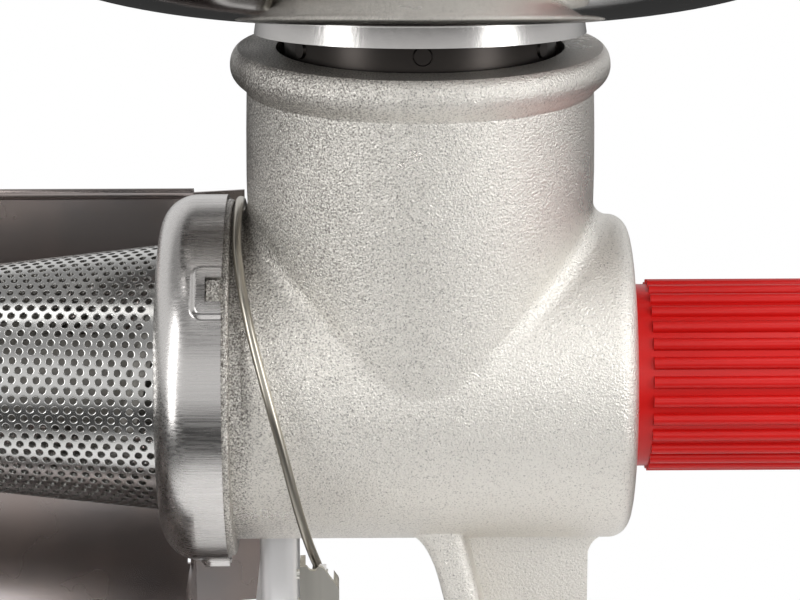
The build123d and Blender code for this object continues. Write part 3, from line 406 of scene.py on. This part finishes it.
def cell_rings(u, v, holed):
    """Seven rings of 12 points for each cell, from its outer border through the hole to its inner border.

    The border is a rectangle of one pitch by one row. A circle has radius HOLE times a factor, and nearly
    none where there's no hole. The rim is doubled on both faces, so that the hole's wall has its own normals.
    """
    angle = np.arange(CORNERS) * 2 * math.pi / CORNERS
    radius = np.where(holed, HOLE, HOLE * 0.02)[:, None]

    def circle(factor):
        return u[:, None] + factor * radius * np.sin(angle), v[:, None] + factor * radius * np.cos(angle)

    border = (u[:, None] + CELL_U, v[:, None] + CELL_V)
    outer, outer_normal = rolled(*border, 0.0)
    lip, lip_normal = rolled(*circle(SOFT_EDGE), 0.0)
    rim, rim_normal = rolled(*circle(1.0), 0.0)
    under, under_normal = rolled(*border, -SHEET)
    under_rim, under_rim_normal = rolled(*circle(1.0), -SHEET)
    away = rim - rim.mean(1, keepdims=True)
    away = away / np.maximum(np.linalg.norm(away, axis=2, keepdims=True), 1e-9) * holed[:, None, None]
    into_hole = 1e-4 - away
    points = np.concatenate([outer, lip, rim, rim, under_rim, under_rim, under], 1)
    skin = [outer_normal, lip_normal, rim_normal - 0.7 * away]
    inside = [into_hole, into_hole, -under_rim_normal, -under_normal]
    direction = np.concatenate(skin + inside, 1)
    return points, direction / np.linalg.norm(direction, axis=2, keepdims=True)


# %% Faces between the rings
RING_PAIRS = ((0, 1), (1, 2), (3, 4), (5, 6))  # outer skin, its rim, wall of the hole, inner skin
WALL = (3, 4)
RINGS = 7


def cell_faces(holed):
    """Quads between neighbouring rings of every cell. Only a cell with a hole has the hole's wall."""
    start = (np.arange(len(holed)) * RINGS * CORNERS)[:, None, None]
    here = np.arange(CORNERS)
    there = (here + 1) % CORNERS
    quads = []
    for pair in RING_PAIRS:
        a, b = pair[0] * CORNERS, pair[1] * CORNERS
        faces = start + np.stack([b + here, b + there, a + there, a + here], -1)[None]
        kept = faces[holed] if pair == WALL else faces
        quads.append(kept.reshape(-1, 4))
    return np.concatenate(quads)


# %% The two halves of the perforated sheet
def perforated_half(name, side):
    """Half of the perforated sheet, with both skins, soft rims and the walls of the holes."""
    u, v, holed = cell_centres(side)
    points, direction = cell_rings(u, v, holed)
    faces = cell_faces(holed)
    half = piece_from(name, points, faces, cone_steel)
    half.data.normals_split_custom_set_from_vertices(direction.reshape(-1, 3).tolist())
    print(name, int(holed.sum()), "holes,", 2 * len(faces), "triangles")
    return half


for name, side in (("cone_upper_half", 1), ("cone_lower_half", -1)):
    half = perforated_half(name, side)
    fasten(half, "screen")
    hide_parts("screen_cone")

# %% The cone's flange inside the ring
FLANGE_RADIUS = 35.0 * MM
FLANGE_STEPS = 96


def cone_flange():
    """A short tube and a washer: an open profile of x and radius, turned round the drive axis."""
    face = CONE_RIGHT + SHEET
    profile = [
        (CONE_RIGHT, CONE_RADIUS),
        (face, CONE_RADIUS),
        (face, FLANGE_RADIUS),
        (face + SHEET, FLANGE_RADIUS),
        (face + SHEET, CONE_RADIUS - SHEET),
        (CONE_RIGHT, CONE_RADIUS - SHEET),
    ]
    turn = np.linspace(0, 2 * math.pi, FLANGE_STEPS, endpoint=False)
    x, radius = np.array(profile).T[:, :, None]
    upwards = AXIS_HEIGHT + radius * np.sin(turn)
    points = np.stack([x + 0 * turn, radius * np.cos(turn), upwards], -1)
    here = np.arange(FLANGE_STEPS)
    there = (here + 1) % FLANGE_STEPS
    row = (np.arange(len(profile) - 1) * FLANGE_STEPS)[:, None]
    faces = np.stack([row + here, row + there, row + FLANGE_STEPS + there, row + FLANGE_STEPS + here], -1)
    return piece_from("cone_flange", points, faces.reshape(-1, 4), cone_steel, smooth=False)


flange = cone_flange()
fasten(flange, "screen")
print("cone flange:", len(flange.data.polygons), "faces")

# %% [markdown]
# ## The bail wire
# The bail is one length of drawn wire: hooked behind the tube, round over it, leaning to the right in front
# and caught by the lever below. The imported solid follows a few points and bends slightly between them. Here
# the centre line is put together from its formulas, and a curve object with a round bevel carries an even
# section along it.

# %% Sizes of the wire
WIRE = 1.1 * MM  # radius of the wire
BAIL = 42.6 * MM  # radius of the bail over the tube
BAIL_X = -43.0 * MM
OVER_END = math.radians(105)  # how far the circle reaches from behind, over the top, to the front
LEAN_START = math.radians(17)  # how far in front of the top the lean starts
LEAN_EASE = 8.0 * MM  # height over which the wire comes out of the circle's plane
BEND = 2.2 * MM  # radius of the bends at both hooks
REAR_LOW = -48.0 * MM
REAR_TIP_X = -36.5 * MM
CATCH = -33.6 * MM  # height where the lean ends
CATCH_IN = 3.6 * MM  # how far the wire has come away from the tube's side there
TUCK_X = -25.4 * MM
TUCK_LOW = -39.5 * MM
FOOT = -43.3 * MM
FOOT_Y = -46.8 * MM
LEAN = (1.2143e-06, -9.1889e-06, -0.0013138, -0.24962, -33.383)  # millimetres, highest power first


# %% Centre line of the wire
def front_lean(z):
    """X of the wire at height z above the drive axis, a fourth-degree curve that leans to the right."""
    return np.polyval(LEAN, z / MM) * MM


def quarter(center, radius, start, end, first, second, steps=8):
    """Points of an arc: the centre plus radius times cos in the first direction and sin in the second."""
    turn = np.linspace(start, end, steps)[:, None]
    return np.array(center) + radius * (np.cos(turn) * np.array(first) + np.sin(turn) * np.array(second))


def leaning_front():
    """From the circle's front down to the catch: x follows the lean, y the circle and then a parabola."""
    z = np.linspace(BAIL * math.cos(LEAN_START), CATCH, 60)
    ease = np.clip((BAIL - z) / LEAN_EASE, 0, 1)
    x = BAIL_X + (front_lean(z) - BAIL_X) * ease
    upper_y = -np.sqrt(np.maximum(BAIL**2 - z**2, 0))
    lower_y = -BAIL + CATCH_IN * (z / CATCH) ** 2
    return np.stack([x, np.where(z > 0, upper_y, lower_y), z], -1)


def bail_path():
    """The wire's centre line: rear hook, rear leg, circle over the tube, front lean, tuck and foot."""
    x, y, z = np.eye(3)
    rear_start = np.array([[REAR_TIP_X, BAIL, REAR_LOW]])
    rear_centre = (BAIL_X + BEND, BAIL, REAR_LOW + BEND)
    rear = quarter(rear_centre, BEND, -math.pi / 2, -math.pi, x, z)
    angle = np.linspace(0, OVER_END, 60)[:, None]
    over = BAIL_X * x + BAIL * (np.cos(angle) * y + np.sin(angle) * z)
    lean = leaning_front()
    last = lean[-1]
    low = np.array([TUCK_X, last[1], TUCK_LOW])
    share = np.linspace(0.1, 1, 10)[:, None]
    tuck = last + (low - last) * np.concatenate([0.5 - 0.5 * np.cos(math.pi * share), share, share], 1)
    foot_centre = (low[0], low[1] - BEND, FOOT + BEND)
    foot = quarter(foot_centre, BEND, 0, -math.pi / 2, y, z)
    foot_end = np.array([[low[0], FOOT_Y, FOOT]])
    return np.concatenate([rear_start, rear, over, lean, tuck, foot, foot_end]) + AXIS_HEIGHT * z


# %% Round wire along a path
def round_wire(name, path, radius, material):
    """A tube of that radius along the path, closed at both ends, as a mesh."""
    curve = bpy.data.curves.new(name, "CURVE")
    curve.dimensions = "3D"
    curve.bevel_depth = radius
    curve.bevel_resolution = 4
    curve.use_fill_caps = True
    spline = curve.splines.new("POLY")
    spline.points.add(len(path) - 1)
    spline.points.foreach_set("co", np.c_[path, np.ones(len(path))].ravel())
    spline.use_smooth = True
    draft = bpy.data.objects.new(name + "_draft", curve)
    mesh = bpy.data.meshes.new_from_object(draft)
    bpy.data.objects.remove(draft)
    mesh.materials.clear()
    mesh.materials.append(material)
    mesh.polygons.foreach_set("use_smooth", np.ones(len(mesh.polygons), bool))
    wire = bpy.data.objects.new(name, mesh)
    bpy.context.scene.collection.objects.link(wire)
    return wire


bail = round_wire("bent_bail", bail_path(), WIRE, wire_steel)
fasten(bail, "bail")
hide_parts("bail_wire")
print("bail wire:", len(bail.data.polygons), "faces")

# %% [markdown]
# ## The ring's pockets
# The ring is a bayonet: three lugs of the casting sit in three pockets, which a press has pushed outwards
# from the sheet, each with a window. The solid has a plain box there. A thin skin with a soft edge covers
# it, as a height over the ring's own cylinder, and the window stays open.

# %% Sizes of a pocket
RING_RADIUS = 44.1 * MM
RING_EDGE = -46.02 * MM
DOME_RISE = 1.62 * MM
DOME_SINK = 0.03 * MM  # its edge lies this far inside the ring, so that no gap shows
WINDOW_X = -49.7 * MM
WINDOW_HALF = 3.1 * MM
DOME_X = -53.4 * MM
DOME_HALF = 7.4 * MM
FLAT_X = -50.3 * MM
FLAT_HALF = 4.2 * MM
FLAT_REACH = 1.4 * MM
SLOPE = 1.7 * MM
LUGS = 3
FIRST_LUG = 180 - 43


# %% Domes of the ring
def dome_grid():
    """Places along x and round the ring, with lines of the grid along the window's edges."""
    x = np.concatenate([np.linspace(DOME_X, WINDOW_X, 22), np.linspace(WINDOW_X, RING_EDGE, 12)[1:]])
    lower = np.linspace(-DOME_HALF, -WINDOW_HALF, 20)
    window = np.linspace(-WINDOW_HALF, WINDOW_HALF, 14)[1:-1]
    upper = np.linspace(WINDOW_HALF, DOME_HALF, 20)
    return np.meshgrid(x, np.concatenate([lower, window, upper]), indexing="ij")


def dome_height(x, around):
    """Falls from DOME_RISE to 0 by a smooth step, 1 - 3 d^2 + 2 d^3, of the distance d from a rounded box."""
    over_x = np.maximum(FLAT_X - x, 0)
    over_around = np.maximum(np.abs(around) - FLAT_HALF, 0)
    outside = np.clip((np.hypot(over_x, over_around) - FLAT_REACH) / SLOPE, 0, 1)
    return DOME_RISE * (1 - outside * outside * (3 - 2 * outside)) - DOME_SINK


def ring_dome(name, turn):
    """Skin over a pocket: its radius is the ring's plus the height, and its turn is the pocket's plus arc."""
    x, around = dome_grid()
    radius = RING_RADIUS + dome_height(x, around)
    place = turn + around / RING_RADIUS
    points = np.stack([x, radius * np.cos(place), AXIS_HEIGHT + radius * np.sin(place)], -1)
    number = np.arange(x.size).reshape(x.shape)
    faces = np.stack([number[:-1, :-1], number[:-1, 1:], number[1:, 1:], number[1:, :-1]], -1)
    middle_x = (x[1:, 1:] + x[:-1, :-1]) / 2
    middle_around = (around[1:, 1:] + around[:-1, :-1]) / 2
    window = (middle_x > WINDOW_X) & (np.abs(middle_around) < WINDOW_HALF)
    return piece_from(name, points, faces[~window], ring_steel)


for number in range(LUGS):
    dome = ring_dome(f"ring_dome_{number + 1}", math.radians(FIRST_LUG + 360 / LUGS * number))
    fasten(dome, "screen")
print("ring domes:", len(dome.data.polygons), "faces each")

# %% [markdown]
# ## The flared edge of the pan's wing
# The pan's rear sheet runs past the ring as a wing, and its edge isn't upright: it moves outwards towards
# the floor. The solid's edge is upright, so a thin plate of the same sheet widens it by an even wedge.

# %% Wing flare
WING_LEAN = math.radians(12.5)
WING_CORNER = np.array([-58.4, 52.8]) * MM
WING_REACH = 14.6 * MM
FLARE_TOP = -10.0 * MM
FLARE_FLOOR = -79.0 * MM
FLARE_WIDTHS = (0.05 * MM, 3.6 * MM)
FLARE_OVERLAP = 0.02 * MM
WING_SHEET = 0.8 * MM


def wing_flare():
    """A plate of the pan's sheet that widens evenly from its top to the floor, by the two flare widths."""
    ahead = np.array([math.cos(WING_LEAN), math.sin(WING_LEAN)])
    edge = WING_CORNER + WING_REACH * ahead
    corners = []
    for z, width in zip((FLARE_TOP, FLARE_FLOOR), FLARE_WIDTHS):
        for depth in (0.0, -WING_SHEET):
            for reach in (-FLARE_OVERLAP, width):
                x, y = edge + ahead * reach
                corners.append([x, y + depth, AXIS_HEIGHT + z])
    faces = [(0, 1, 3, 2), (4, 6, 7, 5), (0, 2, 6, 4), (1, 5, 7, 3), (0, 4, 5, 1), (2, 3, 7, 6)]
    return piece_from("wing_flare", corners, faces, pan_steel, smooth=False)


flare = wing_flare()
fasten(flare, "frame")
print("wing flare:", len(flare.data.polygons), "faces")

# %% [markdown]
# ## Room and background
# Bare metal shows what stands round it, and a white room would make it flat. The camera sees a plain white
# background, while every other ray sees a room of soft bands by height: white from the horizon up, greyer
# overhead, dark below the horizon and pale again towards the floor. They give the dark and bright stripes
# on the bare metal.

# %% Bands of the room
ROOM_BANDS = (  # height from straight down (0) to straight up (1), and brightness there
    (0.0, 0.5), (0.13, 0.7), (0.19, 0.05), (0.42, 0.05),
    (0.50, 1.0), (0.73, 1.0), (0.82, 0.38), (1.0, 0.42),
)
ROOM_STRENGTH = 0.8

world = bpy.data.worlds.new("studio")
bpy.context.scene.world = world
world.use_nodes = True
room_nodes = world.node_tree.nodes
room_links = world.node_tree.links
room_nodes.clear()
direction = room_nodes.new("ShaderNodeTexCoord")
split = room_nodes.new("ShaderNodeSeparateXYZ")
height = room_nodes.new("ShaderNodeMapRange")
height.inputs["From Min"].default_value = -1.0
bands = room_nodes.new("ShaderNodeValToRGB")
room_links.new(direction.outputs["Generated"], split.inputs["Vector"])
room_links.new(split.outputs["Z"], height.inputs["Value"])
room_links.new(height.outputs["Result"], bands.inputs["Fac"])
elements = bands.color_ramp.elements
elements[0].position, elements[0].color = ROOM_BANDS[0][0], (*grey(ROOM_BANDS[0][1]), 1)
elements[1].position, elements[1].color = ROOM_BANDS[-1][0], (*grey(ROOM_BANDS[-1][1]), 1)
for position, value in ROOM_BANDS[1:-1]:
    elements.new(position).color = (*grey(value), 1)
print("room:", len(elements), "bands")

# %% White for the camera, the room for everything else
ray = room_nodes.new("ShaderNodeLightPath")
seen = room_nodes.new("ShaderNodeBackground")
seen.inputs["Color"].default_value = (1, 1, 1, 1)
felt = room_nodes.new("ShaderNodeBackground")
felt.inputs["Strength"].default_value = ROOM_STRENGTH
choose = room_nodes.new("ShaderNodeMixShader")
surface = room_nodes.new("ShaderNodeOutputWorld")
room_links.new(bands.outputs["Color"], felt.inputs["Color"])
room_links.new(ray.outputs["Is Camera Ray"], choose.inputs["Fac"])
room_links.new(felt.outputs["Background"], choose.inputs[1])
room_links.new(seen.outputs["Background"], choose.inputs[2])
room_links.new(choose.outputs["Shader"], surface.inputs["Surface"])

# %% [markdown]
# ## Soft panels
# Four rectangular lamps stand for the diffusers of a studio. The front one fills the shadows of the casting
# and is hidden from reflections, because its outline would show in the polished metal.

# %% Panels
AIM = Vector((0, 0, 0.12))


def panel(name, at, width, height, power):
    """A soft rectangular light at a place, facing the machine."""
    data = bpy.data.lights.new(name, "AREA")
    data.shape = "RECTANGLE"
    data.size, data.size_y = width, height
    data.energy = power
    light = bpy.data.objects.new(name, data)
    light.location = at
    light.rotation_euler = (AIM - Vector(at)).to_track_quat("-Z", "Y").to_euler()
    bpy.context.scene.collection.objects.link(light)
    return light


panel("top", (0.1, -0.1, 0.9), 0.8, 0.8, 5)
panel("right", (0.7, -0.5, 0.45), 0.35, 0.9, 4.6)
panel("left", (-0.8, -0.5, 0.35), 0.3, 0.9, 3.6)
front = panel("front", (0.15, -1.3, 0.55), 0.7, 0.5, 5)
front.visible_glossy = False
print(len(bpy.data.lights), "panels")

# %% [markdown]
# ## Floor
# A plain pale sheet lies just below the machine and takes its shadow. Its shader fades to transparent with
# distance from the middle, so that it melts into the white background without an edge.

# %% Floor
FLOOR_HALF = 0.9
FLOOR_GAP = 0.5 * MM
FADE_START = 0.3
FADE_END = 0.5

pale = new_material("pale floor", (0.86, 0.86, 0.86), 0.0, 0.7)
floor_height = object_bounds()[0].z - FLOOR_GAP
floor_corners = [(x, y, floor_height) for x, y in ((-1, -1), (1, -1), (1, 1), (-1, 1))]
floor_points = np.array(floor_corners) * (FLOOR_HALF, FLOOR_HALF, 1)
floor = piece_from("floor", floor_points, [(0, 1, 2, 3)], pale, smooth=False)
print(f"floor at {floor_height / MM:.1f} mm")

# %% Fading edge of the floor
fade_place = add_node(pale, "ShaderNodeTexCoord")
fade_length = add_node(pale, "ShaderNodeVectorMath")
fade_length.operation = "LENGTH"
fade = add_node(pale, "ShaderNodeMapRange", From_Min=FADE_START, From_Max=FADE_END)
clear = add_node(pale, "ShaderNodeBsdfTransparent")
blend = add_node(pale, "ShaderNodeMixShader")
link(pale, fade_place.outputs["Object"], fade_length.inputs[0])
link(pale, fade_length.outputs["Value"], fade.inputs["Value"])
link(pale, fade.outputs["Result"], blend.inputs["Fac"])
link(pale, shader_of(pale).outputs["BSDF"], blend.inputs[1])
link(pale, clear.outputs["BSDF"], blend.inputs[2])
link(pale, blend.outputs["Shader"], pale.node_tree.nodes["Material Output"].inputs["Surface"])

# %% [markdown]
# ## Camera
# The photograph was taken from slightly above with a long lens, so upright edges stay nearly parallel. The
# viewing angles, the distance and the lens were fitted to its outlines together with the sizes of the
# solids.

# %% Camera
AZIMUTH = math.radians(-0.6)
ELEVATION = math.radians(15.5)
ROLL = math.radians(0.12)
DISTANCE = 0.7
LENS = 131.27
TARGET = Vector((-4.85 * MM, 0, AXIS_HEIGHT + 19.05 * MM))

level = math.cos(ELEVATION)
back = Vector((math.sin(AZIMUTH) * level, -math.cos(AZIMUTH) * level, math.sin(ELEVATION)))
camera_data = bpy.data.cameras.new("camera")
camera_data.sensor_width = 36.0
camera_data.lens = LENS
camera_data.clip_start, camera_data.clip_end = 0.01, 20.0
camera = bpy.data.objects.new("camera", camera_data)
bpy.context.scene.collection.objects.link(camera)
bpy.context.scene.camera = camera
facing = back.to_track_quat("Z", "Y").to_matrix().to_4x4()
camera.matrix_world = Matrix.Translation(TARGET + back * DISTANCE) @ facing @ Matrix.Rotation(-ROLL, 4, "Z")
print("camera at", [round(value, 3) for value in camera.matrix_world.translation])

# %% [markdown]
# The Standard view shows a colour about as it is written. Ten bounces are enough for light between the
# polished sheets and inside the cone, and a ray may pass a dozen see-through faces. The added pieces stay
# within the solids' box.

# %% Picture settings and the end
scene = bpy.context.scene
scene.view_settings.view_transform = "Standard"
scene.cycles.max_bounces = 10
scene.cycles.transparent_max_bounces = 12
